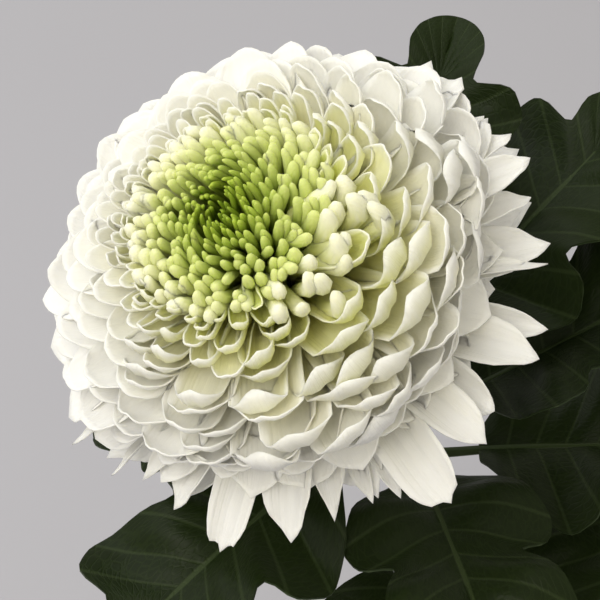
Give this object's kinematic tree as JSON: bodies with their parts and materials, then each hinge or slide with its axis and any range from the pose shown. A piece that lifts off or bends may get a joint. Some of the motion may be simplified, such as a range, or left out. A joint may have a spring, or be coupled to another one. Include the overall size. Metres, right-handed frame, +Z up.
{
  "type": "disbud chrysanthemum in vase",
  "caption": "Single large white chrysanthemum bloom with a green eye on a leafy stem, standing in water in a plain bottle-shaped ceramic vase.",
  "frame": {"origin": "middle of the vase's flat foot, where it stands on the table", "axes": "+Z up the vase's axis. The bloom leans towards -X and -Y, and +X is to the right in the picture"},
  "size_m": [0.2121, 0.1813, 0.4821],
  "materials": {
    "ceramic_glaze": "satin glaze",
    "water": "clear still water",
    "stem_green": "ribbed, dull green",
    "leaf_green": "dark green, slightly glossy, with pale veins",
    "bract_green": "dull green",
    "petal_white": "soft white with a warm shade at the base",
    "petal_green": "fresh yellow-green"
  },
  "bodies": {
    "root": {"vase": "ceramic_glaze", "water": "water", "stem": "stem_green", "leaf_01": "leaf_green", "leaf_02": "leaf_green", "leaf_03": "leaf_green", "leaf_04": "leaf_green", "leaf_05": "leaf_green", "leaf_06": "leaf_green", "leaf_07": "leaf_green", "leaf_08": "leaf_green", "leaf_09": "leaf_green", "leaf_10": "leaf_green", "ray_florets": "petal_white", "centre_florets": "petal_green", "involucre": "bract_green"}
  },
  "joints": []
}
